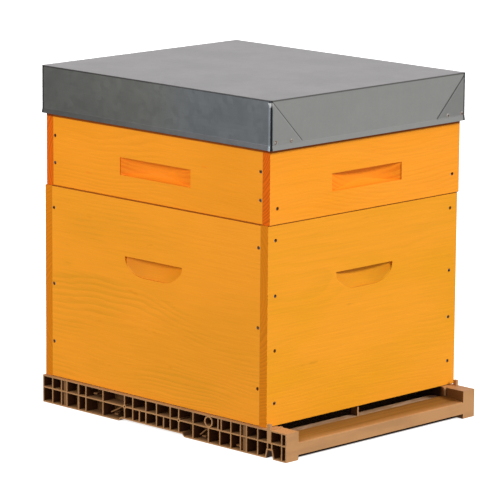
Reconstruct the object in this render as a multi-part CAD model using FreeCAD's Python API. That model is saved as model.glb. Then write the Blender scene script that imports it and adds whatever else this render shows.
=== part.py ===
import FreeCAD, Part
import math
import os

# Ten-frame beehive of two boxes on a moulded plastic floor, under a crown board and a flat metal roof.
# Millimetres. +Z is up and the entrance faces -Y. The shapes are drawn about the brood box's centre
# line (x = 0, y = 0) and the ground (z = 0); save() then moves them so that the origin is the middle
# of the whole hive's footprint.

V = FreeCAD.Vector

# ---------------------------------------------------------------- driving dimensions
BOX_WIDTH = 430.0            # both boxes, along X
BOX_DEPTH = 500.0            # both boxes, along Y
BOARD = 25.0                 # thickness of the box boards
LAP = 10.0                   # depth of the corner rebate in the front and back boards
ARRIS = 0.8                  # bevel on a board's outer edges

FLOOR_HEIGHT = 45.0
BROOD_HEIGHT = 312.5
SUPER_HEIGHT = 170.0
BROOD_BOTTOM = FLOOR_HEIGHT
SUPER_BOTTOM = BROOD_BOTTOM + BROOD_HEIGHT
SUPER_TOP = SUPER_BOTTOM + SUPER_HEIGHT

FLOOR_SHIFT = -5.0           # the boxes are stacked by hand, a few millimetres off each other along X
SUPER_SHIFT = 3.2            # the super, crown board and roof against the brood box

# floor
FLOOR_WIDTH = 432.0
FLOOR_FRONT = -298.0
FLOOR_BACK = 251.0
RAIL = 27.0                  # width of the side and back rails
WALL = 2.0                   # moulded wall thickness
MID_RIB = 24.0               # height of the underside of the rails' middle rib
GRILLE_TOP = 23.0
GRILLE_THICK = 3.0
LIP_BOTTOM = 8.0             # the landing board's front lip hangs clear of the ground
LIP_TOP = 27.0
SILL_FRONT = -256.5          # here the landing board ends in a step down to the ledge under the box
SILL_TOP = 31.5
LEDGE_TOP = 28.0
LEDGE_BACK = -231.0          # and from here a ramp leads down to the grille
POST = (5.0, 6.0, 8.5)       # locating posts on the rails: along X, along Y, height

# frames and their rests
REBATE_DEPTH = 20.0          # frame rebate in the front and back boards, below the box's top
REBATE_WIDTH = 11.0
LUG_SEAT = 18.0              # frame lugs rest this far below the box's top
FRAME_SPACE = 8.0            # bee space above the top bars
FRAME_WIDTH = 25.0
TOP_BAR_LENGTH = 470.0
FRAME_LENGTH = 435.0
TOP_BAR_THICK = 20.0
LUG_THICK = 10.0
BAR = 10.0                   # side and bottom bar thickness
BOTTOM_BAR_WIDTH = 20.0
FOUNDATION = 3.0
BROOD_FRAMES, BROOD_PITCH, BROOD_FRAME_HEIGHT = 10, 38.0, 300.0
SUPER_FRAMES, SUPER_PITCH, SUPER_FRAME_HEIGHT = 9, 42.0, 160.0
REST_SHEET = 1.0             # metal of the frame rests

# crown board and roof
CROWN_PANEL = 5.0
CROWN_BATTEN = 8.0           # height of the battens on the panel
CROWN_BATTEN_WIDTH = 20.0
ROOF_WIDTH = 440.0
ROOF_DEPTH = 513.0
ROOF_HEIGHT = 76.5
ROOF_BOARD = 8.7
SHEET = 0.8
HEM_HEIGHT = 8.0
HEM_FLARE = 1.2
ROOF_CORNER = 3.0            # outer radius of the sheet's upright folds
FLAP = 67.0                  # length of the doubled triangle at each end of the front and back
ROOF_TOP = SUPER_TOP + CROWN_PANEL + CROWN_BATTEN + ROOF_BOARD + SHEET
ROOF_BOTTOM = ROOF_TOP - ROOF_HEIGHT

# screws and rivets
SCREW_HEAD_R = 2.8
SCREW_SHANK_R = 1.5
SCREW_LENGTH = 45.0
SCREW_HEAD_HEIGHT = 2.4
SCREW_SINK = 0.7             # heads lie this far below the wood
SCREW_FIT = 0.05
FRONT_SCREW_EDGE = 16.5      # from a front or back board's ends
SIDE_SCREW_EDGE = 20.0       # from the corner, on a side board
# heights above the box's bottom: the rows at -X and +X of a front board, then those of a side board
BROOD_SCREWS = ((36.0, 118.0, 203.0, 289.0), (40.0, 112.0, 188.0, 289.0), (58.0, 153.0, 277.0))
SUPER_SCREWS = ((25.0, 143.0), (31.0, 143.0), (37.0, 81.0))
RIVET_R = 3.2
RIVET_FLANGE = 0.4
RIVET_HEAD = 0.8             # height of the sloping head on the flange
RIVET_HOLE_R = 1.3
RIVET_EDGES = (9.8, 43.0)    # from the roof's corner
RIVET_UP = 11.7              # above the skirt's lower edge

# the middle of the whole footprint, which becomes the origin
LEFT_EXTENT = FLOOR_SHIFT - FLOOR_WIDTH / 2
RIGHT_EXTENT = SUPER_SHIFT + ROOF_WIDTH / 2 + HEM_FLARE
BACK_EXTENT = ROOF_DEPTH / 2 + HEM_FLARE
ORIGIN = V((LEFT_EXTENT + RIGHT_EXTENT) / 2, (FLOOR_FRONT + BACK_EXTENT) / 2, 0)


# ---------------------------------------------------------------- small helpers
def box(x0, x1, y0, y1, z0, z1):
    return Part.makeBox(x1 - x0, y1 - y0, z1 - z0, V(x0, y0, z0))


def prism_x(points, x0, x1):
    """A (y, z) outline extruded along X."""
    corners = [V(x0, y, z) for y, z in points]
    face = Part.Face(Part.makePolygon(corners + corners[:1]))
    return face.extrude(V(x1 - x0, 0, 0))


def prism_y(points, y0, y1):
    """An (x, z) outline extruded along Y."""
    corners = [V(x, y0, z) for x, z in points]
    face = Part.Face(Part.makePolygon(corners + corners[:1]))
    return face.extrude(V(0, y1 - y0, 0))


def fuse(shapes):
    return shapes[0].multiFuse(shapes[1:]).removeSplitter()


def mirror_x(shape):
    return shape.mirror(V(0, 0, 0), V(1, 0, 0))


def mirror_y(shape):
    return shape.mirror(V(0, 0, 0), V(0, 1, 0))


def shifted(shape, x=0.0, y=0.0, z=0.0):
    moved = shape.copy()
    moved.translate(V(x, y, z))
    return moved


def bevel(shape, wanted):
    """Bevel the straight edges that wanted(start, end) picks."""
    edges = [e for e in shape.Edges if wanted(e.Vertexes[0].Point, e.Vertexes[-1].Point)]
    return shape.makeChamfer(ARRIS, edges)


def save(name, solids):
    """Write one node, moved so that the footprint's middle is the origin."""
    for solid in solids:
        if not solid.isValid() or solid.Volume <= 0:
            raise ValueError(name + " is not a sound solid")
    whole = Part.makeCompound([shifted(s, -ORIGIN.x, -ORIGIN.y) for s in solids])
    if len(whole.Solids) == 1:
        whole = whole.Solids[0]
    whole.exportStep("parts/" + name + ".step")
    print(name, len(whole.Solids), "solids", round(whole.Volume / 1000, 1), "cm3")


# ---------------------------------------------------------------- floor
RIBS_BOTH = (228, 166, 149, 109, 59, 40, 10, -14, -45, -64, -96, -179, -237, -288)
RIBS_UPPER = (-151, -158)
RIBS_LOWER = (25, -30, -130, -155)
RIB_SET_BACK = 175
SET_BACK = 6.0
WIDE_RIBS = ((194, 207), (-213, -200))       # pairs of ribs closed by a web behind the face
WEB_SET_BACK = 4.0
RING_Y, RING_R = -130.0, 8.9
PIN_BOSSES = (59.0, -64.0)
RECESS = (-72.0, 68.0, 4.5)                  # shallow hand recess under each rail: from, to, height
NOTCH = (-270.0, -267.0, -258.0, -255.0, 13.5)
STRUTS = (((96, 9), (70, 22)), ((-106, 9), (-123, 22)))      # slanted ribs set back in the lower row
PEGS = ((86, 6), (135, 31), (-113, 6), (-187, 5))            # small shelves set back in the cells
PEG_WIDTH = 8.0
THICK_RIB = (-265.5, -257.0)


def rail_rib(y, z0, z1, thick=WALL):
    return box(0, RAIL, y - thick / 2, y + thick / 2, z0, z1)


def rail_lower_skin():
    """Bottom flange, stepped up over the hand recess and round the notch."""
    r0, r1, up = RECESS
    n0, n1, n2, n3, high = NOTCH
    t = WALL
    outline = [(FLOOR_FRONT, 0), (n0, 0), (n1, high), (n2, high), (n3, 0),
               (r0 - up, 0), (r0, up), (r1, up), (r1 + up, 0), (FLOOR_BACK, 0),
               (FLOOR_BACK, t), (r1 + up, t), (r1, up + t), (r0, up + t), (r0 - up, t),
               (n3 + t, t), (n2 + t, high + t), (n1 - t, high + t), (n0 - t, t), (FLOOR_FRONT, t)]
    return prism_x(outline, 0, RAIL)


def strut(foot, head):
    """A slanted rib between two (y, z) points, set back from the rail's face."""
    half = WALL / 2
    return prism_x([(foot[0], foot[1] - half), (foot[0], foot[1] + half), (head[0], head[1] + half),
                    (head[0], head[1] - half)], SET_BACK, RAIL)


def rail_outline_block():
    """Everything between the rail's outer skins, to trim ribs to the lower skin."""
    r0, r1, up = RECESS
    n0, n1, n2, n3, high = NOTCH
    return prism_x([(FLOOR_FRONT, 0), (n0, 0), (n1, high), (n2, high), (n3, 0), (r0 - up, 0), (r0, up),
                    (r1, up), (r1 + up, 0), (FLOOR_BACK, 0), (FLOOR_BACK, FLOOR_HEIGHT),
                    (FLOOR_FRONT, FLOOR_HEIGHT)], 0, RAIL)


def side_rail():
    """The left rail, with its outer face at x = 0 and its inner face at x = RAIL."""
    top = FLOOR_HEIGHT
    members = [
        rail_lower_skin(),
        box(0, RAIL, FLOOR_FRONT, FLOOR_BACK, top - WALL, top),
        box(0, RAIL, FLOOR_FRONT, FLOOR_BACK, MID_RIB, MID_RIB + WALL),
        box(RAIL - WALL, RAIL, FLOOR_FRONT, FLOOR_BACK, 0, top),
        box(RAIL - 2 * WALL, RAIL, FLOOR_FRONT, -245, 0, top),
        box(0, RAIL, FLOOR_FRONT, FLOOR_FRONT + WALL, 0, top),
        box(0, RAIL, FLOOR_BACK - WALL, FLOOR_BACK, 0, top),
        box(0, RAIL, THICK_RIB[0], THICK_RIB[1], MID_RIB, top),
    ]
    members += [rail_rib(y, 0, top) for y in RIBS_BOTH]
    members += [rail_rib(y, MID_RIB, top) for y in RIBS_UPPER]
    members += [rail_rib(y, 0, MID_RIB + WALL) for y in RIBS_LOWER]
    for y0, y1 in WIDE_RIBS:
        members += [rail_rib(y0, 0, top), rail_rib(y1, 0, top), box(WEB_SET_BACK, RAIL, y0, y1, 0, top)]
    members.append(box(SET_BACK, RAIL, RIB_SET_BACK - WALL / 2, RIB_SET_BACK + WALL / 2, 0, top))
    members += [rail_rib(y, NOTCH[4], MID_RIB + WALL) for y in NOTCH[1:3]]
    members += [strut(foot, head) for foot, head in STRUTS]
    members += [box(SET_BACK + 2, RAIL, y - PEG_WIDTH / 2, y + PEG_WIDTH / 2, z, z + WALL) for y, z in PEGS]
    ring_z = (MID_RIB + WALL + top - WALL) / 2
    ring = Part.makeCylinder(RING_R, RAIL, V(0, RING_Y, ring_z), V(1, 0, 0))
    ring_hole = Part.makeCylinder(RING_R - WALL, RAIL - WALL, V(0, RING_Y, ring_z), V(1, 0, 0))
    members.append(ring)
    for y in PIN_BOSSES:
        members.append(Part.makeCylinder(3.4, RAIL, V(0, y, MID_RIB + 1), V(1, 0, 0)))
    rail = fuse(members).common(rail_outline_block()).cut(ring_hole)
    for y in PIN_BOSSES:
        rail = rail.cut(Part.makeCylinder(1.4, 14, V(0, y, MID_RIB + 1), V(1, 0, 0)))
    # locating post, the door guide rib and its groove in the cheek's inner wall
    post_x, post_y, post_z = POST
    rail = rail.cut(box(RAIL - 2.5, RAIL, -263.5, -260.5, SILL_TOP, top))
    extras = [rail, box(0, post_x, -263, -263 + post_y, top - 1, top + post_z),
              box(RAIL - 1, RAIL + 4, -260.5, -256.5, SILL_TOP + 0.5, top)]
    return fuse(extras)


def cross_span():
    """The clear width between the side rails, about the floor's middle."""
    return FLOOR_WIDTH / 2 - RAIL


def landing_board():
    """Front lip, top rising to a small step, ledge under the box's front and ramp down to the grille."""
    t = 3.0
    half = cross_span()
    front = FLOOR_FRONT
    inner = SILL_FRONT - t
    top_line = [(front, LIP_TOP - 0.8), (front + 0.8, LIP_TOP), (SILL_FRONT, SILL_TOP),
                (SILL_FRONT, LEDGE_TOP), (LEDGE_BACK, LEDGE_TOP), (-212, GRILLE_TOP), (-208, GRILLE_TOP)]
    under_line = [(-208, GRILLE_TOP - t), (-213, GRILLE_TOP - t), (LEDGE_BACK - 1, LEDGE_TOP - t),
                  (inner, LEDGE_TOP - t), (inner, SILL_TOP - t), (front + t, LIP_TOP - t),
                  (front + t, LIP_BOTTOM)]
    skin = prism_x([(front, LIP_BOTTOM)] + top_line + under_line, -half, half)
    rib = [(front + 1, LIP_BOTTOM), (front + 1, LIP_TOP - t - 1), (inner + 1, SILL_TOP - t / 2),
           (inner + 1, LEDGE_TOP - t / 2), (LEDGE_BACK, LEDGE_TOP - t / 2), (LEDGE_BACK, LIP_BOTTOM)]
    divider = box(-1.5, 1.5, -245, -228, LEDGE_TOP - 1, FLOOR_HEIGHT)
    members = [skin, divider]
    count = 8
    for i in range(1, count):
        x = -half + i * 2 * half / count
        members.append(prism_x(rib, x - 1, x + 1))
    return fuse(members)


def back_rail():
    """Closing rail at the back, its cells open to the rear."""
    half = cross_span()
    y0 = FLOOR_BACK - RAIL
    top = FLOOR_HEIGHT
    members = [box(-half, half, y0, y0 + WALL, 0, top),
               box(-half, half, y0, FLOOR_BACK, 0, WALL),
               box(-half, half, y0, FLOOR_BACK, top - WALL, top),
               box(-half, half, y0, FLOOR_BACK, MID_RIB, MID_RIB + WALL)]
    count = 14
    for i in range(count + 1):
        x = -half + WALL / 2 + i * (2 * half - WALL) / count
        members.append(box(x - WALL / 2, x + WALL / 2, y0, FLOOR_BACK, 0, top))
    return fuse(members)


def floor_grille():
    """Ventilated panel that the cluster hangs over, with rows of long slots."""
    half = cross_span()
    y0, y1 = -208.0, FLOOR_BACK - RAIL
    z0 = GRILLE_TOP - GRILLE_THICK
    panel = box(-half, half, y0, y1, z0, GRILLE_TOP)
    columns, rows = 36, 8
    pitch_x = 2 * half / columns
    pitch_y = (y1 - y0) / rows
    slots = []
    for i in range(columns):
        x = -half + (i + 0.5) * pitch_x
        for j in range(rows):
            y = y0 + (j + 0.5) * pitch_y
            slots.append(box(x - 1.75, x + 1.75, y - pitch_y / 2 + 4, y + pitch_y / 2 - 4,
                             z0 - 1, GRILLE_TOP + 1))
    return panel.cut(Part.makeCompound(slots))


# ---------------------------------------------------------------- boxes
def drum_radius(chord, depth):
    """The radius of an upright cylinder that meets the wood's face over a chord and enters it by depth."""
    return (chord * chord / 4 + depth * depth) / (2 * depth)


def scoop_cutter(width, depth, low, high):
    """A scoop with upright ends and a floor that curves up to the face, on the plane y = 0."""
    radius = drum_radius(width + 8, depth)
    drum = Part.makeCylinder(radius, high - low, V(0, depth - radius, low))
    x = -width / 2
    foot, bend, back = V(x, 0, low), V(x, 0.75 * depth, low + 4.5), V(x, depth, low + 16)
    corners = [back, V(x, depth, high), V(x, -2, high), V(x, -2, low), foot]
    edges = [Part.Arc(foot, bend, back).toShape()]
    edges += [Part.LineSegment(p, q).toShape() for p, q in zip(corners, corners[1:])]
    profile = Part.Face(Part.Wire(Part.sortEdges(edges)[0]))
    return profile.extrude(V(width, 0, 0)).common(drum)


def half_moon_cutter(width, depth, low, high):
    """A scoop with a flat top edge and long rounded lower corners, shallower towards the bottom."""
    radius = drum_radius(width + 28, depth)
    drum = Part.makeCylinder(radius, 100, V(0, depth - radius, high - 60))
    drum.rotate(V(0, depth, high), V(1, 0, 0), -19)
    a, wide, upright = width / 2, 45.0, high - low - 2
    pull = 0.5523             # makes a Bezier curve follow a quarter of an ellipse

    def corner(side):
        curve = Part.BezierCurve()
        curve.setPoles([V(side * a, 0, low + upright), V(side * a, 0, low + upright * (1 - pull)),
                        V(side * (a - wide + pull * wide), 0, low), V(side * (a - wide), 0, low)])
        return curve.toShape()

    points = [V(-a, 0, low + upright), V(-a, 0, high), V(a, 0, high), V(a, 0, low + upright)]
    edges = [Part.LineSegment(p, q).toShape() for p, q in zip(points, points[1:])]
    edges += [corner(1), Part.LineSegment(V(a - wide, 0, low), V(wide - a, 0, low)).toShape(), corner(-1)]
    wire = Part.Wire(Part.sortEdges(edges)[0])
    outline = Part.Face(wire).extrude(V(0, depth + 5, 0))
    outline.translate(V(0, -2, 0))
    return outline.common(drum)


def screw(head, inward):
    """A countersunk screw whose head's face is at the point head."""
    cone = Part.makeCone(SCREW_HEAD_R, SCREW_SHANK_R, SCREW_HEAD_HEIGHT, head, inward)
    shank = Part.makeCylinder(SCREW_SHANK_R, SCREW_LENGTH - 4, head, inward)
    tip = Part.makeCone(SCREW_SHANK_R, 0.3, 4, head + inward * (SCREW_LENGTH - 4), inward)
    socket = Part.makeCylinder(1.1, 1.2, head, inward)
    return fuse([cone, shank, tip]).cut(socket)


def screw_hole(surface, inward):
    """Clearance for a screw, from the wood's surface inward."""
    head = surface + inward * SCREW_SINK
    well = Part.makeCylinder(SCREW_HEAD_R + SCREW_FIT, SCREW_SINK, surface, inward)
    cone = Part.makeCone(SCREW_HEAD_R + SCREW_FIT, SCREW_SHANK_R + SCREW_FIT, SCREW_HEAD_HEIGHT, head, inward)
    shank = Part.makeCylinder(SCREW_SHANK_R + SCREW_FIT, SCREW_LENGTH + 1, head, inward)
    return fuse([well, cone, shank])


def screw_places(bottom, left_row, right_row, side_row):
    """(point on the wood's surface, direction inward) of every screw of a box."""
    places = []
    for side, row in ((-1, left_row), (1, right_row)):
        x = side * (BOX_WIDTH / 2 - FRONT_SCREW_EDGE)
        for up in row:
            places.append((V(x, -BOX_DEPTH / 2, bottom + up), V(0, 1, 0)))
            places.append((V(x, BOX_DEPTH / 2, bottom + up), V(0, -1, 0)))
        y = side * (BOX_DEPTH / 2 - SIDE_SCREW_EDGE)
        for up in side_row:
            places.append((V(-BOX_WIDTH / 2, y, bottom + up), V(1, 0, 0)))
            places.append((V(BOX_WIDTH / 2, y, bottom + up), V(-1, 0, 0)))
    return places


def end_board(bottom, height, cutter):
    """Front board: rebated at its ends for the side boards and along its top for the frames."""
    w, d = BOX_WIDTH / 2, BOX_DEPTH / 2
    top = bottom + height
    board = box(-w, w, -d, -d + BOARD, bottom, top)

    def outer_edge(a, b):
        flat = abs(a.y + d) < 1e-6 and abs(b.y + d) < 1e-6
        return flat and abs(a.z - b.z) < 1e-6

    board = bevel(board, outer_edge)
    inner = -d + BOARD
    for side in (-1, 1):
        x0, x1 = sorted((side * w, side * (w - BOARD)))
        board = board.cut(box(x0, x1, inner - LAP, inner, bottom - 1, top + 1))
    board = board.cut(box(-w + BOARD, w - BOARD, inner - REBATE_WIDTH, inner, top - REBATE_DEPTH, top + 1))
    return board.cut(shifted(cutter, 0, -d, bottom))


def side_board(bottom, height, cutter):
    """Left board, whose ends stand in the end boards' rebates."""
    w, d = BOX_WIDTH / 2, BOX_DEPTH / 2 - BOARD + LAP
    top = bottom + height
    board = box(-w, -w + BOARD, -d, d, bottom, top)

    def outer_edge(a, b):
        flat = abs(a.x + w) < 1e-6 and abs(b.x + w) < 1e-6
        return flat and abs(a.z - b.z) < 1e-6

    board = bevel(board, outer_edge)
    turned = cutter.copy()
    turned.rotate(V(0, 0, 0), V(0, 0, 1), -90)
    return board.cut(shifted(turned, -w, 0, bottom))


def frame_rests(top, frames, pitch):
    """Castellated metal angles in the front and back rebates, one tooth between each pair of frames."""
    seat = top - REBATE_DEPTH
    inner = -BOX_DEPTH / 2 + BOARD
    half = BOX_WIDTH / 2 - BOARD
    members = [box(-half, half, inner - REBATE_WIDTH, inner, seat, seat + REST_SHEET),
               box(-half, half, inner - REST_SHEET, inner, seat, top - LUG_SEAT)]
    for i in range(1, frames):
        x = (i - frames / 2) * pitch
        gap = (pitch - FRAME_WIDTH) / 2 - 1.5
        members.append(box(x - gap, x + gap, inner - REST_SHEET, inner, seat, top - FRAME_SPACE - 1))
    front = fuse(members)
    return [front, mirror_y(front)]


def make_box(name, bottom, height, cutter, screws, frames, pitch, shift):
    """Write a box's boards, frame rests and screws."""
    top = bottom + height
    places = screw_places(bottom, *screws)
    holes = Part.makeCompound([screw_hole(p, d) for p, d in places])
    front = end_board(bottom, height, cutter)
    left = side_board(bottom, height, cutter)
    boards = {"front": front, "back": mirror_y(front), "left": left, "right": mirror_x(left)}
    for side, board in boards.items():
        save(name + "_" + side, [shifted(board.cut(holes), shift)])
    rests = frame_rests(top, frames, pitch)
    save(name + "_frame_rests", [shifted(r, shift) for r in rests])
    heads = [screw(p + d * SCREW_SINK, d) for p, d in places]
    save(name + "_screws", [shifted(s, shift) for s in heads])


# ---------------------------------------------------------------- frames
def frame_wood(top, height):
    """Top bar with its lugs, two side bars and a bottom bar, about x = 0."""
    w = FRAME_WIDTH / 2
    bar_top = top - FRAME_SPACE
    bar_low = bar_top - TOP_BAR_THICK
    end = FRAME_LENGTH / 2
    lug = TOP_BAR_LENGTH / 2
    top_bar = fuse([box(-w, w, -lug, lug, bar_top - LUG_THICK, bar_top),
                    box(-w, w, -end, end, bar_low, bar_top)])
    low = bar_top - height
    side = box(-w, w, end - BAR, end, low, bar_low)
    bottom = BOTTOM_BAR_WIDTH / 2
    bottom_bar = box(-bottom, bottom, -end + BAR, end - BAR, low, low + BAR)
    return [top_bar, side, mirror_y(side), bottom_bar]


def frame_sheet(top, height):
    """The wax foundation that fills a frame."""
    bar_top = top - FRAME_SPACE
    end = FRAME_LENGTH / 2 - BAR
    half = FOUNDATION / 2
    return box(-half, half, -end, end, bar_top - height + BAR, bar_top - TOP_BAR_THICK)


def make_frames(kind, top, height, frames, pitch, shift):
    wood = frame_wood(top, height)
    wax = frame_sheet(top, height)
    for i in range(frames):
        x = shift + (i - (frames - 1) / 2) * pitch
        number = "_%02d" % (i + 1)
        save(kind + "_frame" + number, [shifted(s, x) for s in wood])
        save(kind + "_foundation" + number, [shifted(wax, x)])


# ---------------------------------------------------------------- crown board and roof
def crown_panel():
    w, d = BOX_WIDTH / 2, BOX_DEPTH / 2
    return box(-w, w, -d, d, SUPER_TOP, SUPER_TOP + CROWN_PANEL)


def crown_battens():
    w, d = BOX_WIDTH / 2, BOX_DEPTH / 2
    low = SUPER_TOP + CROWN_PANEL
    high = low + CROWN_BATTEN
    b = CROWN_BATTEN_WIDTH
    front = box(-w, w, -d, -d + b, low, high)
    left = box(-w, -w + b, -d + b, d - b, low, high)
    return [front, mirror_y(front), left, mirror_x(left)]


def rounded_slab(width, depth, radius, low, high):
    slab = box(-width / 2, width / 2, -depth / 2, depth / 2, low, high)
    upright = [e for e in slab.Edges if abs(e.Vertexes[0].Z - e.Vertexes[-1].Z) > 1]
    return slab.makeFillet(radius, upright)


def rounded_wire(width, depth, radius, z):
    slab = rounded_slab(width, depth, radius, z, z + 10)
    face = [f for f in slab.Faces if abs(f.CenterOfMass.z - z) < 1e-6][0]
    return face.OuterWire


def roof_form(inset):
    """The roof's filled outline, inset all round by a thickness."""
    w, d, r = ROOF_WIDTH - 2 * inset, ROOF_DEPTH - 2 * inset, ROOF_CORNER - inset
    flare_top = ROOF_BOTTOM + HEM_HEIGHT
    upper = rounded_slab(w, d, r, flare_top, ROOF_TOP - inset)
    if inset == 0:
        rim = [e for e in upper.Edges if all(abs(v.Z - ROOF_TOP) < 1e-6 for v in e.Vertexes)]
        upper = upper.makeFillet(1.2, rim)
    low = ROOF_BOTTOM
    wide = rounded_wire(w + 2 * HEM_FLARE, d + 2 * HEM_FLARE, r + HEM_FLARE, low)
    hem = Part.makeLoft([wide, rounded_wire(w, d, r, flare_top)], True)
    return upper.fuse(hem)


def between_corners(side_on_x):
    """The wedge that holds one skirt, as far as the middles of the corner folds."""
    w, d = ROOF_WIDTH / 2 - ROOF_CORNER, ROOF_DEPTH / 2 - ROOF_CORNER
    e = 20.0
    if side_on_x:
        points = [(-w - e, -d - e), (-w + e, -d + e), (-w + e, d - e), (-w - e, d + e)]
    else:
        points = [(-w - e, -d - e), (-w + e, -d + e), (w - e, -d + e), (w + e, -d - e)]
    corners = [V(x, y, ROOF_BOTTOM - 1) for x, y in points]
    face = Part.Face(Part.makePolygon(corners + corners[:1]))
    return face.extrude(V(0, 0, ROOF_TOP - SHEET - ROOF_BOTTOM + 1))


def roof_sheet():
    """Folded tray, with the corner flaps lying on its front and back: its top and its four skirts."""
    tray = roof_form(0).cut(roof_form(SHEET))
    w, d = ROOF_WIDTH / 2, ROOF_DEPTH / 2
    low = ROOF_BOTTOM + HEM_HEIGHT
    start = w - ROOF_CORNER
    high = low + FLAP - ROOF_CORNER
    flap = prism_y([(-start, low), (-start + high - low, low), (-start, high)], -d - SHEET, -d + SHEET / 2)
    front = fuse([tray.common(between_corners(False)), flap, mirror_x(flap)])
    left = tray.common(between_corners(True))
    top = tray.common(box(-w - 9, w + 9, -d - 9, d + 9, ROOF_TOP - SHEET, ROOF_TOP + 1))
    return [top, front, mirror_y(front), left, mirror_x(left)]


def roof_board():
    gap = 2 * (0.5 + SHEET)
    high = ROOF_TOP - SHEET
    return rounded_slab(ROOF_WIDTH - gap, ROOF_DEPTH - gap, ROOF_CORNER, high - ROOF_BOARD, high)


def roof_rivets():
    """Blind rivets on the flaps: a flange, a sloping head and the hole that the mandrel leaves."""
    heads = []
    z = ROOF_BOTTOM + RIVET_UP
    face = -ROOF_DEPTH / 2 - SHEET
    outward = V(0, -1, 0)
    for edge in RIVET_EDGES:
        x = ROOF_WIDTH / 2 - edge
        flange = Part.makeCylinder(RIVET_R, RIVET_FLANGE, V(x, face, z), outward)
        head = Part.makeCone(RIVET_R, 0.55 * RIVET_R, RIVET_HEAD, V(x, face - RIVET_FLANGE, z), outward)
        hole = Part.makeCylinder(RIVET_HOLE_R, 2, V(x, face, z), outward)
        rivet = flange.fuse(head).cut(hole)
        heads += [rivet, mirror_x(rivet), mirror_y(rivet), mirror_x(mirror_y(rivet))]
    return heads


# ---------------------------------------------------------------- everything
def make_floor():
    left = shifted(side_rail(), -FLOOR_WIDTH / 2)
    save("floor_rail_left", [shifted(left, FLOOR_SHIFT)])
    save("floor_rail_right", [shifted(mirror_x(left), FLOOR_SHIFT)])
    save("floor_rail_back", [shifted(back_rail(), FLOOR_SHIFT)])
    save("landing_board", [shifted(landing_board(), FLOOR_SHIFT)])
    save("floor_grille", [shifted(floor_grille(), FLOOR_SHIFT)])


def make_boxes():
    brood_grip = half_moon_cutter(128.0, 14.0, 191.5, 221.5)
    super_grip = scoop_cutter(158.0, 12.5, 36.5, 64.7)
    make_box("brood_box", BROOD_BOTTOM, BROOD_HEIGHT, brood_grip,
             BROOD_SCREWS, BROOD_FRAMES, BROOD_PITCH, 0)
    make_box("super", SUPER_BOTTOM, SUPER_HEIGHT, super_grip,
             SUPER_SCREWS, SUPER_FRAMES, SUPER_PITCH, SUPER_SHIFT)


def make_roof():
    save("crown_board_panel", [shifted(crown_panel(), SUPER_SHIFT)])
    save("crown_board_battens", [shifted(s, SUPER_SHIFT) for s in crown_battens()])
    save("roof_sheet", [shifted(s, SUPER_SHIFT) for s in roof_sheet()])
    save("roof_board", [shifted(roof_board(), SUPER_SHIFT)])
    save("roof_rivets", [shifted(s, SUPER_SHIFT) for s in roof_rivets()])


os.makedirs("parts", exist_ok=True)
make_floor()
make_boxes()
make_frames("brood", SUPER_BOTTOM, BROOD_FRAME_HEIGHT, BROOD_FRAMES, BROOD_PITCH, 0)
make_frames("super", SUPER_TOP, SUPER_FRAME_HEIGHT, SUPER_FRAMES, SUPER_PITCH, SUPER_SHIFT)
make_roof()
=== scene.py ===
import math

import bpy
from mathutils import Matrix, Vector


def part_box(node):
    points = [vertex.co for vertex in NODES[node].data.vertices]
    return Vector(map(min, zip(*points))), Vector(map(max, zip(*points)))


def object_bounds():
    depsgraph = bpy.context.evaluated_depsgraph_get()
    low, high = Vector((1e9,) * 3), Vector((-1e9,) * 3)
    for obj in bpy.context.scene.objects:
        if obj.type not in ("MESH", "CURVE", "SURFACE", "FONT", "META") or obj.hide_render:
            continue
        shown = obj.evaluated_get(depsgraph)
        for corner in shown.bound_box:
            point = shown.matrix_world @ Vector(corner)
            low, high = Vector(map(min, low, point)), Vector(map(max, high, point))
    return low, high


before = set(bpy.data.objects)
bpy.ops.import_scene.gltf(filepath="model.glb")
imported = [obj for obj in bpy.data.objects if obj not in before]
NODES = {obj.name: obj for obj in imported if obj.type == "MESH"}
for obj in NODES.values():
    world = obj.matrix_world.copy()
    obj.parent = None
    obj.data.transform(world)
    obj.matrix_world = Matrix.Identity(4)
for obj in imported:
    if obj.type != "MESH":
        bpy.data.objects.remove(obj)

# The looks of the beehive: a finish for every CAD node, the camera, the light and the floor.
# Metres throughout. +Z is up, the entrance faces -Y.

CAD_BOX = [list(corner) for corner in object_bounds()]

# ---------------------------------------------------------------- camera and light values
CAMERA_AZIMUTH = -45.3932
CAMERA_ELEVATION = 11.1672
CAMERA_ROLL = 0.4299
CAMERA_DISTANCE = 5.67873
CAMERA_AIM = (0.2209, 0.2981, 0.2566)        # from the lowest corner of the CAD box
CAMERA_LENS = 255.07
CAMERA_SENSOR = 36.0
CAMERA_REACH = 200.0

KEY_AZIMUTH = 38.0           # to the right of straight in front
KEY_ELEVATION = 33.0
KEY_STRENGTH = 2.6
KEY_ANGLE = 14.0
KEY_DISTANCE = 4.0
LIGHT_AIM = (0.0, 0.0, 0.3)
LEFT_PLACE = (-2.6, 0.6, 1.6)
LEFT_STRENGTH = 57.0
LEFT_SIZE = (1.6, 1.7)
SKY_HORIZON = 1.08
SKY_ZENITH = 0.45
SKY_BELOW = 0.52
SKY_DARK = 0.66              # how much darker the sky is behind the left side
FLOOR_GLOW = 0.75
FLOOR_HALF = 40.0            # half the side of the stage's floor
FLOOR_DROP = 0.0005          # and how far it lies below the hive's feet
SHADE_INSET = 0.018          # the floor's painted shadow under the hive stops this far inside its footprint
HEM_FLARE = 0.0012           # how far the roof's hem stands out from its skirt
HEM_HEIGHT = 0.008
SIDE_SHADE = 0.34             # how much darker the roof's left and right skirts are painted than the rest: painted shade

# ---------------------------------------------------------------- small helpers


def rgb(red, green, blue):
    """A colour given from 0 to 255 as it looks on screen, as the linear values that shaders take."""
    linear = []
    for value in (red, green, blue):
        v = value / 255
        linear.append(v / 12.92 if v <= 0.04045 else ((v + 0.055) / 1.055) ** 2.4)
    return tuple(linear)


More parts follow.
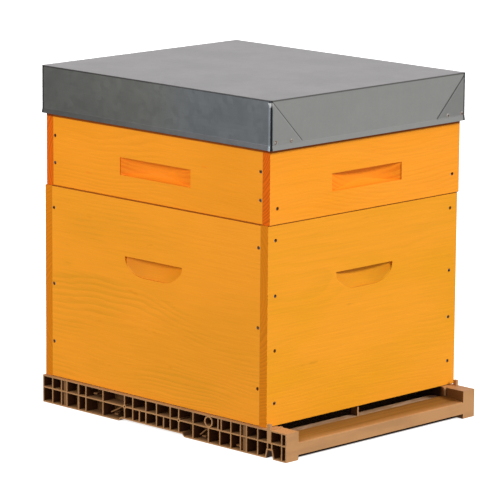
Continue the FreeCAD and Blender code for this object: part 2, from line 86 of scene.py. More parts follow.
class Graph:
    """One material's nodes, with a short call for each kind that the finishes use."""

    @classmethod
    def on(cls, tree):
        """The same calls on another kind of node tree."""
        graph = cls.__new__(cls)
        graph.tree = tree
        return graph

    def __init__(self, name):
        self.material = bpy.data.materials.new(name)
        self.material.use_nodes = True
        self.tree = self.material.node_tree
        self.tree.nodes.clear()
        self.place = self.add("TexCoord").outputs["Object"]
        self.facing = self.add("NewGeometry").outputs["Normal"]
        self.x, self.y, self.z = self.split(self.place)
        self.nx, self.ny, self.nz = self.split(self.facing)

    def add(self, kind, **settings):
        node = self.tree.nodes.new("ShaderNode" + kind)
        for key, value in settings.items():
            setattr(node, key, value)
        return node

    def feed(self, socket, value):
        if isinstance(value, bpy.types.NodeSocket):
            self.tree.links.new(value, socket)
        elif socket.type == "RGBA":
            socket.default_value = (*value, 1.0)
        else:
            socket.default_value = value

    def call(self, node, values):
        for socket, value in zip(node.inputs, values):
            self.feed(socket, value)
        return node.outputs[0]

    def math(self, kind, *values):
        return self.call(self.add("Math", operation=kind), values)

    def plus(self, a, b):
        return self.math("ADD", a, b)

    def less(self, a, b):
        return self.math("SUBTRACT", a, b)

    def times(self, *values):
        total = values[0]
        for value in values[1:]:
            total = self.math("MULTIPLY", total, value)
        return total

    def size(self, value):
        return self.math("ABSOLUTE", value)

    def invert(self, value):
        return self.math("SUBTRACT", 1.0, value)

    def split(self, vector):
        node = self.add("SeparateXYZ")
        self.feed(node.inputs[0], vector)
        return node.outputs[0], node.outputs[1], node.outputs[2]

    def join(self, x, y, z):
        return self.call(self.add("CombineXYZ"), (x, y, z))

    def smooth(self, value, low, high, start=0.0, end=1.0):
        """start below low, end above high, and a smooth turn between."""
        node = self.add("MapRange", interpolation_type="SMOOTHSTEP")
        return self.call(node, (value, low, high, start, end))

    def band(self, value, low, high, soft):
        """1 between low and high, fading out over soft on both sides."""
        rise = self.smooth(value, low - soft, low)
        fall = self.smooth(value, high, high + soft, 1.0, 0.0)
        return self.times(rise, fall)

    def stretch(self, scale, seed=0.0, place=None):
        node = self.add("VectorMath", operation="MULTIPLY_ADD")
        shift = (seed * 1.7, seed * 2.3, seed * 3.1)
        return self.call(node, (place or self.place, scale, shift))

    def noise(self, scale, seed=0.0, detail=2.0, rough=0.5, place=None):
        """Smooth noise from about 0.25 to 0.75; scale is features per metre along X, Y and Z."""
        node = self.add("TexNoise")
        self.feed(node.inputs["Vector"], self.stretch(scale, seed, place))
        self.feed(node.inputs["Scale"], 1.0)
        self.feed(node.inputs["Detail"], detail)
        self.feed(node.inputs["Roughness"], rough)
        return node.outputs["Fac"]

    def cells(self, scale, seed, output):
        node = self.add("TexVoronoi")
        self.feed(node.inputs["Vector"], self.stretch(scale, seed))
        self.feed(node.inputs["Scale"], 1.0)
        return node.outputs[output]

    def mix(self, share, first, second):
        node = self.add("Mix", data_type="RGBA")
        self.feed(node.inputs[0], share)
        self.feed(node.inputs[6], first)
        self.feed(node.inputs[7], second)
        return node.outputs[2]

    def shade(self, color, amount):
        """color times the grey amount."""
        node = self.add("VectorMath", operation="SCALE")
        self.feed(node.inputs[0], color)
        self.feed(node.inputs["Scale"], amount)
        return node.outputs[0]

    def bump(self, height, metres, under=None):
        node = self.add("Bump")
        self.feed(node.inputs["Strength"], 1.0)
        self.feed(node.inputs["Distance"], metres)
        self.feed(node.inputs["Height"], height)
        if under is not None:
            self.feed(node.inputs["Normal"], under)
        return node.outputs[0]

    def finish(self, color, roughness, normal, **fixed):
        """The shader: colour, roughness and normal from nodes, the rest set on the sockets."""
        shader = self.add("BsdfPrincipled")
        self.feed(shader.inputs["Base Color"], color)
        self.feed(shader.inputs["Roughness"], roughness)
        self.feed(shader.inputs["Normal"], normal)
        for name, value in fixed.items():
            shader.inputs[name.replace("_", " ")].default_value = value
        output = self.add("OutputMaterial")
        self.tree.links.new(shader.outputs[0], output.inputs[0])
        return self.material


def dress(names, material):
    for name in names:
        mesh = NODES[name].data
        mesh.materials.clear()
        mesh.materials.append(material)


# ---------------------------------------------------------------- wood
ARRIS_SHADE = rgb(98, 28, 2)
BEE_GLUE_AND_SEAM_SHADE = rgb(150, 60, 8)
BOTTOM_BEVEL_SHADE = rgb(74, 52, 14)
HEM_SHADE = rgb(136, 56, 2)
HEM_SHADE_BELOW = 0.0042     # the painted shade under the hem: how far below and above the hem's edge
HEM_SHADE_ABOVE = 0.0010
HEM_SHADE_FADE = 0.0014
RING_SWAY = 0.045            # how far the pith wanders
SCOOP_MARGIN = 0.05          # the hand-holds stay further than this from a board's ends
BOX_SPACING = 0.0052         # between late-wood lines
FRAME_SPACING = 0.0035
PITH_BEHIND = 0.085          # the pith lies this far behind a box board


def rings(g, run, depth, up, pith, spacing, seed, sway):
    """Late-wood lines, 0 to 1: rings round a pith that runs along a board and wanders, unevenly spaced."""
    along = g.join(run, depth, up)
    drift = g.less(g.noise((2.0, 3.0, 3.0), seed, 2.0, place=along), 0.5)
    ripple = g.less(g.noise((9.0, 26.0, 26.0), seed + 4, 2.0, place=along), 0.5)
    a = g.plus(g.less(depth, pith[0]), g.times(drift, sway))
    b = g.plus(g.less(up, pith[1]), g.times(drift, sway * 1.8))
    radius = g.math("SQRT", g.plus(g.times(a, a), g.times(b, b)))
    radius = g.plus(radius, g.times(ripple, 0.007))
    uneven = g.noise((55.0, 0.0, 0.0), seed + 5, 1.0, place=g.join(radius, 0.0, 0.0))
    turn = g.math("FRACT", g.plus(g.math("DIVIDE", radius, spacing), g.times(uneven, 3.0)))
    return g.times(g.smooth(turn, 0.2, 0.85), g.smooth(turn, 0.9, 1.0, 1.0, 0.0))


def pine(name, along, box, pith, seed, colors, spacing=0.0042, contrast=0.5, end_contrast=0.5,
         outward=None, specular=0.12):
    """Wood cut as a board: long grain on its faces, arcs on its ends, and both in a scoop.

    colors: light, grain line, patch, end grain, scoop. outward is the sign of the face that shows,
    across the board, and None for plain lumber.
    """
    light, line, patch, end, scoop = colors
    end_dark = tuple(c * 0.5 for c in end)
    low, high = box
    g = Graph(name)
    if along == "X":
        run, depth, n_run, n_depth = g.x, g.y, g.nx, g.ny
        faces, ends = (low.y, high.y), (low.x, high.x)
        fine, broad, smear = (14.0, 700.0, 700.0), (3.0, 9.0, 9.0), (22.0, 60.0, 90.0)
    else:
        run, depth, n_run, n_depth = g.y, g.x, g.ny, g.nx
        faces, ends = (low.x, high.x), (low.y, high.y)
        fine, broad, smear = (700.0, 14.0, 700.0), (9.0, 3.0, 9.0), (60.0, 22.0, 90.0)
    lines = rings(g, run, depth, g.z, pith, spacing, seed, RING_SWAY)
    come_and_go = g.smooth(g.noise(broad, seed + 7, 3.0), 0.46, 0.66, 0.05, 1.0)
    fibre = g.noise(fine, seed + 2, 3.0, 0.6)
    mottle = g.noise(broad, seed + 11, 3.0, 0.55)

    color = g.mix(g.smooth(mottle, 0.42, 0.68), light, patch)
    color = g.mix(g.times(lines, come_and_go, contrast), color, line)
    smudge = g.smooth(g.noise(smear, seed + 13, 2.0), 0.69, 0.78)
    color = g.mix(g.times(smudge, 0.4), color, scoop)
    tilt = g.size(n_run)
    if outward is not None:
        face = faces[0] if outward < 0 else faces[1]
        sunk = g.smooth(g.size(g.less(depth, face)), 0.0002, 0.0016)
        outwards = g.smooth(g.times(n_depth, float(outward)), 0.25, 0.6)
        lip = g.times(g.smooth(g.size(g.nz), 0.8, 0.95),
                      g.band(g.z, low.z + 0.02, high.z - 0.02, 0.002))
        half_run = (ends[1] - ends[0]) / 2 - SCOOP_MARGIN
        from_middle = g.size(g.less(run, (ends[0] + ends[1]) / 2))
        amid = g.smooth(from_middle, half_run - 0.01, half_run, 1.0, 0.0)
        walls = g.times(g.smooth(tilt, 0.8, 0.95), amid)
        inside = g.math("MAXIMUM", g.math("MAXIMUM", g.times(sunk, outwards), lip), walls)
        hatch = g.smooth(tilt, 0.08, 0.30)
        scooped = g.mix(g.times(hatch, lines, 0.7), scoop, end)
        color = g.mix(g.times(inside, g.smooth(tilt, 0.0, 0.30, 0.55, 0.9)), color, scooped)
    ended = g.smooth(tilt, 0.55, 0.9)
    if outward is not None:
        ended = g.times(ended, g.invert(g.times(inside, 0.8)))
    color = g.mix(ended, color, g.mix(g.times(lines, end_contrast), end, end_dark))
    if outward is not None:
        # the dark hairlines where a side board stops against the end grain, and painted shade along the
        # arrises for the seams between stacked boxes
        if along == "Y":
            half = (ends[1] - ends[0]) / 2
            middle = (ends[0] + ends[1]) / 2
            stop = g.smooth(g.size(g.less(run, middle)), half - 0.0014, half - 0.0005)
            color = g.mix(g.times(stop, 0.55), color, end_dark)
        from_edge = g.less((high.z - low.z) / 2, g.size(g.less(g.z, (high.z + low.z) / 2)))
        arris = g.times(g.smooth(g.size(g.nz), 0.3, 0.55), g.smooth(g.size(g.nz), 0.8, 0.95, 1.0, 0.0),
                        g.smooth(from_edge, 0.001, 0.002, 1.0, 0.0))
        color = g.mix(g.times(arris, 0.85), color, ARRIS_SHADE)
        # bee glue and painted seam shade on the top rim, painted shade on the bottom bevel, and painted
        # shade under the roof's hem
        rim = g.times(g.smooth(g.nz, 0.8, 0.95), g.smooth(g.z, high.z - 0.002, high.z - 0.001))
        color = g.mix(g.times(rim, 0.65), color, BEE_GLUE_AND_SEAM_SHADE)
        if name.startswith("brood"):
            below = g.smooth(g.nz, -0.5, -0.3, 1.0, 0.0)
            color = g.mix(g.times(arris, below), color, BOTTOM_BEVEL_SHADE)
        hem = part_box("roof_sheet")[0].z
        sheltered = g.band(g.z, hem - HEM_SHADE_BELOW, hem + HEM_SHADE_ABOVE, HEM_SHADE_FADE)
        color = g.mix(g.times(sheltered, 0.88), color, HEM_SHADE)
    color = g.shade(color, g.smooth(fibre, 0.3, 0.7, 0.96, 1.03))

    height = g.plus(g.times(fibre, 0.6), g.times(lines, -0.3))
    normal = g.bump(height, 0.00022)
    roughness = g.plus(g.smooth(fibre, 0.3, 0.7, 0.52, 0.66), g.times(ended, 0.12))
    return g.finish(color, roughness, normal, Specular_IOR_Level=specular)


# light, grain line, patch, end grain, scoop
BROOD_END_STAIN = ((240, 156, 38), (214, 150, 24), (232, 154, 28), (220, 127, 12), (208, 135, 26))
BROOD_SIDE_STAIN = ((248, 157, 38), (206, 144, 26), (240, 154, 34), (220, 127, 12), (218, 130, 14))
SUPER_END_STAIN = ((248, 156, 42), (236, 140, 24), (244, 152, 32), (230, 103, 2), (246, 138, 24))
SUPER_SIDE_STAIN = ((247, 154, 35), (226, 140, 22), (240, 150, 30), (230, 103, 2), (244, 132, 22))
# each board's stain, and the strength of the lines on its faces and on its ends
BOARDS = {
    "brood_box_front": (BROOD_END_STAIN, 0.22, 0.25),
    "brood_box_back": (BROOD_END_STAIN, 0.26, 0.25),
    "brood_box_left": (BROOD_SIDE_STAIN, 0.36, 0.25),
    "brood_box_right": (BROOD_SIDE_STAIN, 0.36, 0.25),
    "super_front": (SUPER_END_STAIN, 0.30, 0.50),
    "super_back": (SUPER_END_STAIN, 0.35, 0.50),
    "super_left": (SUPER_SIDE_STAIN, 0.30, 0.50),
    "super_right": (SUPER_SIDE_STAIN, 0.35, 0.50),
}
PITH_DROP = {"front": 0.06, "back": -0.05, "left": 0.03, "right": -0.04}
BARE_TONES = ((222, 184, 128), (196, 148, 92), (214, 176, 122), (190, 146, 98), (222, 184, 128))
BARE = tuple(rgb(*c) for c in BARE_TONES)


def dress_boxes():
    for number, (name, (stain, contrast, end_contrast)) in enumerate(BOARDS.items()):
        low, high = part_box(name)
        side = name.split("_")[-1]
        along = "X" if side in ("front", "back") else "Y"
        outward = -1 if side in ("front", "left") else 1
        across = (low.y + high.y) / 2 if along == "X" else (low.x + high.x) / 2
        pith = (across - outward * PITH_BEHIND, (low.z + high.z) / 2 + PITH_DROP[side])
        wood = pine(name + "_pine", along, (low, high), pith, 3.0 + 5.0 * number,
                    [rgb(*c) for c in stain], contrast=contrast, end_contrast=end_contrast,
                    spacing=BOX_SPACING, outward=outward)
        dress([name], wood)


def dress_frames():
    bodies = [n for n in NODES if "_frame_" in n and not n.endswith("rests")]
    for number, name in enumerate(sorted(bodies)):
        low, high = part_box(name)
        pith = ((low.x + high.x) / 2 - 0.03, high.z + 0.02)
        wood = pine(name + "_pine", "Y", (low, high), pith, 60.0 + number * 3, BARE, spacing=FRAME_SPACING,
                    specular=0.25)
        dress([name], wood)
    low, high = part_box("crown_board_battens")
    dress(["crown_board_battens"],
          pine("batten_pine", "X", (low, high), (low.y - 0.03, low.z - 0.05), 140.0, BARE, specular=0.25))


WAX_CELL = 0.0054            # across a hexagon of the foundation


def wax():
    """Pressed foundation: hexagons, a little uneven in colour."""
    g = Graph("wax_foundation")
    across, rise = WAX_CELL, WAX_CELL * math.sqrt(3)

    def centre_distance(shift_y, shift_z):
        y = g.less(g.math("MODULO", g.plus(g.y, 1.0 + shift_y), across), across / 2)
        z = g.less(g.math("MODULO", g.plus(g.z, 1.0 + shift_z), rise), rise / 2)
        return g.math("SQRT", g.plus(g.times(y, y), g.times(z, z)))

    near = g.math("MINIMUM", centre_distance(0.0, 0.0), centre_distance(across / 2, rise / 2))
    wall = g.smooth(near, across * 0.40, across * 0.56)
    cloud = g.noise((14.0, 14.0, 14.0), 5.0, 3.0)
    color = g.mix(g.smooth(cloud, 0.35, 0.65), rgb(222, 168, 62), rgb(204, 146, 48))
    color = g.mix(g.times(wall, 0.5), color, rgb(238, 196, 104))
    return g.finish(color, g.smooth(cloud, 0.3, 0.7, 0.38, 0.5), g.bump(wall, 0.0008),
                    Subsurface_Weight=0.15, Subsurface_Scale=0.003, Specular_IOR_Level=0.4)


def plywood(name, tone, dark, seed):
    """Rotary-cut sheet: long soft streaks and fine pores."""
    g = Graph(name)
    streak = g.noise((55.0, 3.0, 55.0), seed, 3.0, 0.55)
    pore = g.noise((900.0, 60.0, 900.0), seed + 3, 2.0)
    color = g.mix(g.smooth(streak, 0.35, 0.7), tone, dark)
    color = g.shade(color, g.smooth(pore, 0.35, 0.65, 0.93, 1.03))
    return g.finish(color, g.smooth(pore, 0.3, 0.7, 0.6, 0.72), g.bump(pore, 0.00012),
                    Specular_IOR_Level=0.25)


# ---------------------------------------------------------------- metal
def zinc_sheet():
    """Galvanised roof sheet: faint spangle and rolling streaks, painted shade on the side skirts, painted
    dark reflections along the top edges, painted shade lines along the flap edges and corners, and painted
    highlights at the near corner.
    """
    low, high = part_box("roof_sheet")
    g = Graph("zinc_sheet")
    spangle = g.split(g.cells((95.0, 95.0, 95.0), 2.0, "Color"))[0]
    cloud = g.noise((9.0, 9.0, 14.0), 3.0, 4.0, 0.6)
    mottle = g.noise((60.0, 60.0, 60.0), 5.0, 3.0, 0.6)
    rolled = g.noise((240.0, 4.0, 240.0), 6.0, 2.0)
    drip = g.noise((160.0, 160.0, 5.0), 8.0, 2.0)
    tone = g.plus(g.smooth(cloud, 0.3, 0.7, 0.99, 1.01), g.times(g.less(spangle, 0.5), 0.02))
    tone = g.plus(tone, g.times(g.less(mottle, 0.5), 0.05))
    tone = g.plus(tone, g.times(g.less(rolled, 0.5), 0.06))
    tone = g.plus(tone, g.times(g.less(drip, 0.5), 0.04))
    upright = g.smooth(g.size(g.nz), 0.5, 0.9, 1.0, 0.0)
    sides = g.smooth(g.size(g.nx), 0.75, 0.95)
    # painted shade: the left and right skirts darker, and darker still towards the back
    tone = g.times(tone, g.less(1.0, g.times(sides, SIDE_SHADE)))
    tone = g.times(tone, g.less(1.0, g.times(sides, g.smooth(g.y, -0.05, 0.25, 0.0, 0.14))))
    # a painted dark reflection along the top edge of the sheet
    sideways = g.smooth(g.nz, 0.80, 0.97, 1.0, 0.0)
    fold_reflection = g.times(g.smooth(g.z, high.z - 0.0028, high.z - 0.0018), sideways)
    # distance from the flaps' sloping edges, which start at the corners and fall at 45 degrees
    middle = (low.x + high.x) / 2
    corner = high.x - middle - HEM_FLARE
    from_corner = g.less(corner, g.size(g.less(g.x, middle)))
    middle_y = (low.y + high.y) / 2
    from_end = g.less(high.y - HEM_FLARE - middle_y, g.size(g.less(g.y, middle_y)))
    from_top = g.less(high.z, g.z)
    slope = g.less(from_corner, from_top)
    above_hem = g.smooth(g.z, low.z + HEM_HEIGHT, low.z + HEM_HEIGHT + 0.003)
    flat = g.smooth(g.size(g.ny), 0.95, 0.99)
    on_flap = g.times(flat, above_hem)
    # painted shade along the flaps' sloping edges with a painted glint beside it, and painted shade over
    # the flaps of the right half
    flap_edge_shade = g.times(g.band(slope, -0.0004, 0.0009, 0.0007), on_flap)
    glint = g.times(g.band(slope, -0.0030, -0.0016, 0.0009), on_flap)
    right_half = g.smooth(g.x, middle, middle + 0.05)
    shaded_flap = g.times(g.smooth(slope, -0.001, 0.0, 1.0, 0.0), on_flap, right_half)
    tone = g.times(tone, g.less(1.0, g.times(shaded_flap, 0.16)))
    hem = g.times(g.smooth(g.z, low.z + HEM_HEIGHT + 0.0005, low.z + HEM_HEIGHT - 0.0010),
                  g.smooth(g.size(g.nz), 0.3, 0.6, 1.0, 0.0))
    # the upright folds: a painted highlight on the side skirt, then a painted black shade line in the gap
    # beside the flap
    turning = g.times(upright, g.smooth(g.size(g.ny), 0.1, 0.3))
    fold_highlight = g.times(sides, g.smooth(from_end, 0.0048, 0.0070, 1.0, 0.0))
    gap = g.times(turning, g.smooth(g.size(g.nx), 0.12, 0.2), g.smooth(from_top, 0.006, 0.012))
    crease = g.times(flat, g.smooth(from_corner, 0.0052, 0.0064, 1.0, 0.0), right_half)
    # a dark spot at the top of each upright corner
    corner_dark_spot = g.times(upright, g.smooth(g.size(g.nx), 0.12, 0.2), g.smooth(from_end, 0.0050, 0.0065, 1.0, 0.0),
                   g.smooth(from_top, 0.0032, 0.0042, 1.0, 0.0))
    back_end = g.times(sides, g.smooth(g.y, high.y - HEM_FLARE - 0.0058, high.y - HEM_FLARE - 0.0046))
    # a painted highlight below the corner, which narrows downwards
    highlight_half = g.less(0.0105, g.times(from_top, 0.62))
    corner_highlight = g.times(sides, g.smooth(from_end, g.less(highlight_half, 0.0006), highlight_half, 1.0, 0.0),
                   g.band(from_top, 0.0045, 0.0125, 0.0012))
    skirt_tone = g.mix(g.smooth(g.y, -0.10, 0.05), rgb(172, 177, 182), rgb(178, 180, 174))
    color = g.mix(g.smooth(cloud, 0.35, 0.65), rgb(182, 178, 179), rgb(176, 173, 175))
    color = g.mix(upright, color, g.mix(sides, rgb(184, 185, 181), skirt_tone))
    color = g.mix(g.times(fold_reflection, 0.7), color, rgb(78, 74, 72))
    color = g.mix(g.times(flap_edge_shade, 0.75), color, rgb(70, 68, 66))
    color = g.mix(g.times(glint, 0.35), color, rgb(215, 216, 216))
    color = g.mix(g.times(hem, g.smooth(sides, 0.0, 1.0, 0.22, 0.66)), color, rgb(112, 112, 113))
    color = g.shade(color, tone)
    front_end = g.smooth(g.y, -0.05, 0.05, 1.0, 0.0)
    color = g.mix(g.times(fold_highlight, front_end, g.smooth(from_top, 0.002, 0.008, 0.3, 0.62)), color,
                  rgb(190, 204, 214))
    color = g.mix(g.times(corner_highlight, front_end, 0.9), color, rgb(248, 250, 252))
    color = g.mix(g.times(gap, 0.95), color, rgb(14, 15, 17))
    color = g.mix(g.times(corner_dark_spot, 0.8), color, rgb(24, 24, 26))
    # painted shade: dark lines at the back ends of the side skirts and at the right-hand corners of the
    # front and back
    color = g.mix(g.times(g.math("MAXIMUM", back_end, crease), 0.8), color, rgb(44, 46, 46))
    wave = g.noise((5.0, 5.0, 7.0), 12.0, 1.0)
    scratch = g.noise((600.0, 25.0, 600.0), 14.0, 2.0)
    normal = g.bump(wave, 0.0006)
    normal = g.bump(g.plus(scratch, g.times(spangle, 0.4)), 0.00004, normal)
    roughness = g.plus(g.smooth(cloud, 0.3, 0.7, 0.38, 0.41), g.times(g.less(spangle, 0.5), 0.04))
    return g.finish(color, roughness, normal, Metallic=0.9)


def bright_metal(name, tone, dark, rough, seed, rust=None):
    """Small turned or pressed metal parts, scuffed and a little stained, some of them rusty."""
    g = Graph(name)
    cloud = g.noise((300.0, 300.0, 300.0), seed, 3.0)
    color = g.mix(g.smooth(cloud, 0.42, 0.62), tone, dark)
    if rust is not None:
        some = g.noise((24.0, 24.0, 24.0), seed + 2, 1.0)
        color = g.mix(g.smooth(some, 0.52, 0.60, 0.0, 0.85), color, rust)
    return g.finish(color, g.smooth(cloud, 0.3, 0.7, rough - 0.06, rough + 0.1), g.bump(cloud, 0.00008),
                    Metallic=0.9)


# ---------------------------------------------------------------- plastic
def plastic_base(name, tone):
    """Tan moulded plastic with flow clouds: its graph, its colour before dust, grain and roughness."""
    g = Graph(name)
    cloud = g.noise((10.0, 16.0, 24.0), 21.0, 4.0, 0.6)
    grain = g.noise((1400.0, 1400.0, 1400.0), 23.0, 2.0)
    flow = g.noise((6.0, 45.0, 60.0), 25.0, 2.0)
    color = g.mix(g.smooth(cloud, 0.35, 0.65), tone, tuple(c * 0.88 for c in tone))
    color = g.mix(g.times(g.smooth(flow, 0.5, 0.68), 0.35), color, tuple(c * 0.72 for c in tone))
    return g, color, g.bump(g.plus(grain, flow), 0.00006), g.smooth(cloud, 0.3, 0.7, 0.42, 0.54)


def plastic_end(g, color, normal, roughness):
    speck = g.smooth(g.noise((500.0, 500.0, 500.0), 27.0, 2.0), 0.66, 0.74)
    color = g.mix(g.times(speck, 0.2), color, DUST)
    return g.finish(color, roughness, normal, Specular_IOR_Level=0.3)


TAN = rgb(190, 140, 92)
DUST = rgb(104, 64, 26)
SHADE = rgb(60, 27, 10)
INSIDE = rgb(38, 23, 11)     # the unlit plastic behind the entrance
SILL = 0.0415                # the landing board's step and its inner ledge, from its front edge
LEDGE = 0.067
LIP = 0.0012                 # the rounding of its front edge


def plain_plastic():
    g, color, normal, roughness = plastic_base("plastic_plain", TAN)
    return plastic_end(g, color, normal, roughness)


def rail_plastic(name, side):
    """A side rail: painted shade inside the cells that open towards side, and a brown inner cheek."""
    low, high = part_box(name)
    g, color, normal, roughness = plastic_base("plastic_" + name, TAN)
    outer = low.x if side < 0 else high.x
    depth = g.size(g.less(g.x, outer))
    in_cell = g.times(g.smooth(depth, 0.0002, 0.0022), g.smooth(depth, 0.0250, 0.0265, 1.0, 0.0),
                      g.smooth(g.y, low.y + 0.001, low.y + 0.002), g.smooth(g.z, 0.0445, 0.0440))
    # painted shade in the cells, on their walls and shelves deepening with depth
    color = g.mix(g.times(in_cell, g.smooth(g.size(g.ny), 0.5, 0.8), 0.96), color, SHADE)
    wall = g.times(in_cell, g.smooth(g.size(g.nx), 0.5, 0.8))
    color = g.mix(g.times(wall, g.smooth(depth, 0.001, 0.014, 0.55, 0.88)), color, rgb(96, 60, 26))
    shelf = g.times(in_cell, g.smooth(g.size(g.nz), 0.5, 0.8))
    color = g.mix(g.times(shelf, g.smooth(depth, 0.001, 0.014, 0.25, 0.85)), color, rgb(92, 60, 34))
    cheek = g.times(g.smooth(depth, 0.0255, 0.0265), g.smooth(g.size(g.nx), 0.5, 0.8))
    color = g.mix(g.times(cheek, 0.9), color, rgb(104, 66, 26))
    # painted shade: the cheek behind the box's front in the unlit dark
    box_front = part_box("brood_box_front")[0].y
    hidden = g.smooth(g.y, box_front - 0.004, box_front + 0.002)
    color = g.mix(g.times(cheek, hidden, 0.95), color, INSIDE)
    return plastic_end(g, color, normal, roughness)


def landing_plastic():
    """The landing board: brown on top, pale on the lip and the ledge, and painted shade on the way in."""
    low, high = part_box("landing_board")
    g, color, normal, roughness = plastic_base("plastic_landing", TAN)
    up = g.smooth(g.nz, 0.6, 0.9)
    lip = low.y + LIP
    sill = low.y + SILL
    ledge = low.y + LEDGE
    brown_top = g.times(up, g.smooth(g.y, lip, lip + 0.004),
                      g.smooth(g.y, sill - 0.0002, sill + 0.0002, 1.0, 0.0))
    bands = g.noise((4.0, 240.0, 5.0), 33.0, 3.0, 0.6)
    brown = g.mix(g.smooth(bands, 0.35, 0.65), rgb(128, 86, 36), rgb(144, 100, 46))
    brown = g.mix(g.smooth(g.y, lip + 0.002, lip + 0.016, 0.45, 0.0), brown, TAN)
    color = g.mix(brown_top, color, brown)
    shelf = g.times(up, g.smooth(g.y, sill - 0.0002, sill + 0.0002))
    smears = g.noise((40.0, 120.0, 40.0), 35.0, 3.0, 0.6)
    color = g.mix(shelf, color, g.mix(g.smooth(smears, 0.4, 0.6), rgb(196, 164, 132), rgb(170, 134, 98)))
    flank = g.times(g.smooth(g.size(g.nx), 0.6, 0.9), g.smooth(g.z, 0.0275, 0.0285))
    color = g.mix(g.times(flank, 0.9), color, rgb(70, 40, 16))
    # painted shade on the way in, darker than the unlit plastic
    entry = g.smooth(g.y, ledge - 0.0005, ledge + 0.0005)
    color = g.mix(g.times(entry, 0.97), color, tuple(c * 0.5 for c in INSIDE))
    return plastic_end(g, color, normal, roughness)


def grille_plastic():
    """The ventilated panel: painted shade just behind the entrance, fading towards the back."""
    low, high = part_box("floor_grille")
    g, color, normal, roughness = plastic_base("plastic_grille", TAN)
    color = g.mix(g.smooth(g.y, low.y + 0.05, low.y + 0.20, 0.95, 0.25), color, INSIDE)
    return plastic_end(g, color, normal, roughness)


def dress_rest():
    dress(["floor_rail_left"], rail_plastic("floor_rail_left", -1))
    dress(["floor_rail_right"], rail_plastic("floor_rail_right", 1))
    dress(["floor_rail_back"], plain_plastic())
    dress(["floor_grille"], grille_plastic())
    dress(["landing_board"], landing_plastic())
    dress([n for n in NODES if "_foundation_" in n], wax())
    dress(["crown_board_panel"], plywood("crown_plywood", rgb(214, 176, 124), rgb(196, 152, 98), 31.0))
    dress(["roof_board"], plywood("roof_board_wood", rgb(176, 138, 92), rgb(150, 112, 70), 37.0))
    dress(["roof_sheet"], zinc_sheet())
    dress(["roof_rivets"], bright_metal("rivet_metal", rgb(226, 220, 214), rgb(160, 124, 104), 0.42, 41.0))
    dress(["brood_box_screws", "super_screws"],
          bright_metal("screw_metal", rgb(128, 132, 140), rgb(30, 26, 26), 0.45, 43.0, rgb(130, 78, 32)))
    dress(["brood_box_frame_rests", "super_frame_rests"],
          bright_metal("rest_metal", rgb(176, 178, 180), rgb(140, 142, 144), 0.4, 47.0))


# ---------------------------------------------------------------- camera, light, floor
def direction(azimuth, elevation):
    """Unit vector from the object towards azimuth (0 is -Y, 90 is +X) and elevation, in degrees."""
    a, e = math.radians(azimuth), math.radians(elevation)
    return Vector((math.sin(a) * math.cos(e), -math.cos(a) * math.cos(e), math.sin(e)))


def make_camera():
    back = direction(CAMERA_AZIMUTH, CAMERA_ELEVATION)
    a, r = math.radians(CAMERA_AZIMUTH), math.radians(CAMERA_ROLL)
    right = Vector((math.cos(a), math.sin(a), 0.0))
    up = back.cross(right)
    right, up = right * math.cos(r) + up * math.sin(r), up * math.cos(r) - right * math.sin(r)
    camera = bpy.data.objects.new("camera", bpy.data.cameras.new("camera"))
    bpy.context.scene.collection.objects.link(camera)
    camera.data.lens = CAMERA_LENS
    camera.data.sensor_width = CAMERA_SENSOR
    camera.data.clip_end = CAMERA_REACH
    turn = Matrix((right, up, back)).transposed().to_4x4()
    aim = Vector(CAD_BOX[0]) + Vector(CAMERA_AIM)
    camera.matrix_world = Matrix.Translation(aim + back * CAMERA_DISTANCE) @ turn
    bpy.context.scene.camera = camera


def add_light(name, kind, place, target, energy, **settings):
    light = bpy.data.lights.new(name, kind)
    light.energy = energy
    for key, value in settings.items():
        setattr(light, key, value)
    lamp = bpy.data.objects.new(name, light)
    bpy.context.scene.collection.objects.link(lamp)
    lamp.location = place
    lamp.rotation_mode = "QUATERNION"
    lamp.rotation_quaternion = (Vector(target) - Vector(place)).to_track_quat("-Z", "Y")
    return lamp


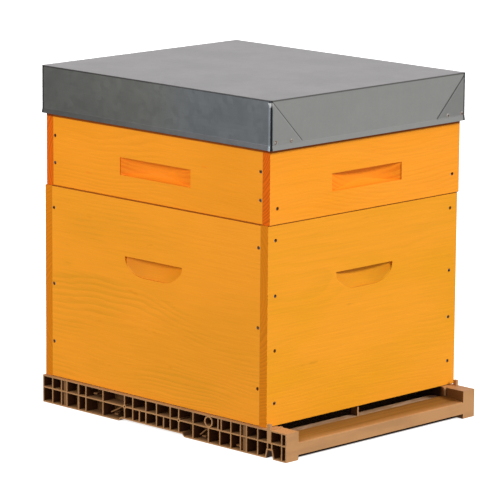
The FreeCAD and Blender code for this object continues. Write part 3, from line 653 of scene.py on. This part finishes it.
def make_light():
    centre = Vector(LIGHT_AIM)
    key_place = centre + direction(KEY_AZIMUTH, KEY_ELEVATION) * KEY_DISTANCE
    key = add_light("key", "SUN", key_place, centre, KEY_STRENGTH, angle=math.radians(KEY_ANGLE))
    key.visible_glossy = False       # or it would glare in the roof, seen from behind
    add_light("left_softbox", "AREA", LEFT_PLACE, centre, LEFT_STRENGTH,
              shape="RECTANGLE", size=LEFT_SIZE[0], size_y=LEFT_SIZE[1])
    world = bpy.data.worlds.new("studio")
    bpy.context.scene.world = world
    world.use_nodes = True
    world.node_tree.nodes.clear()
    g = Graph.on(world.node_tree)
    east, north, height = g.split(g.add("TexCoord").outputs["Generated"])
    bright = g.smooth(height, 0.0, 0.9, SKY_HORIZON, SKY_ZENITH)
    bright = g.times(bright, g.smooth(height, -0.06, 0.02, SKY_BELOW / SKY_HORIZON, 1.0))
    behind_left = g.times(g.less(north, east), math.sqrt(0.5))
    bright = g.times(bright, g.smooth(behind_left, 0.30, 0.95, 1.0, 1.0 - SKY_DARK))
    sky = g.add("Background")
    g.feed(sky.inputs["Strength"], bright)
    g.tree.links.new(sky.outputs[0], g.add("OutputWorld").inputs[0])


def make_floor():
    """A wide pale floor that glows a little, except right under the hive, where it has no glow and is
    painted dark as a shadow.
    """
    half = FLOOR_HALF
    corners = [(-half, -half, 0), (half, -half, 0), (half, half, 0), (-half, half, 0)]
    mesh = bpy.data.meshes.new("studio_floor")
    mesh.from_pydata(corners, [], [(0, 1, 2, 3)])
    floor = bpy.data.objects.new("studio_floor", mesh)
    bpy.context.scene.collection.objects.link(floor)
    floor.location.z = -FLOOR_DROP
    low, high = CAD_BOX
    g = Graph("studio_floor")
    cloud = g.noise((0.8, 0.8, 0.8), 1.0, 2.0)
    color = g.mix(cloud, (0.86, 0.86, 0.86), (0.90, 0.90, 0.90))
    out_x = g.less(g.size(g.x), high[0] - SHADE_INSET)
    out_y = g.less(g.size(g.y), high[1] - SHADE_INSET)
    open_floor = g.smooth(g.math("MAXIMUM", out_x, out_y), 0.0, 0.006)
    glow = g.times(open_floor, FLOOR_GLOW)
    # painted shadow: the floor under the hive is painted dark brown
    color = g.mix(open_floor, rgb(60, 42, 34), color)
    material = g.finish(color, g.smooth(cloud, 0.3, 0.7, 0.85, 0.95), g.bump(cloud, 0.0001),
                        Emission_Color=(1, 1, 1, 1), Specular_IOR_Level=0.1)
    shader = [n for n in g.tree.nodes if n.type == "BSDF_PRINCIPLED"][0]
    g.feed(shader.inputs["Emission Strength"], glow)
    mesh.materials.append(material)
    floor.visible_diffuse = False
    floor.visible_glossy = False


dress_boxes()
dress_frames()
dress_rest()
make_camera()
make_light()
make_floor()
bpy.context.scene.view_settings.view_transform = "Standard"
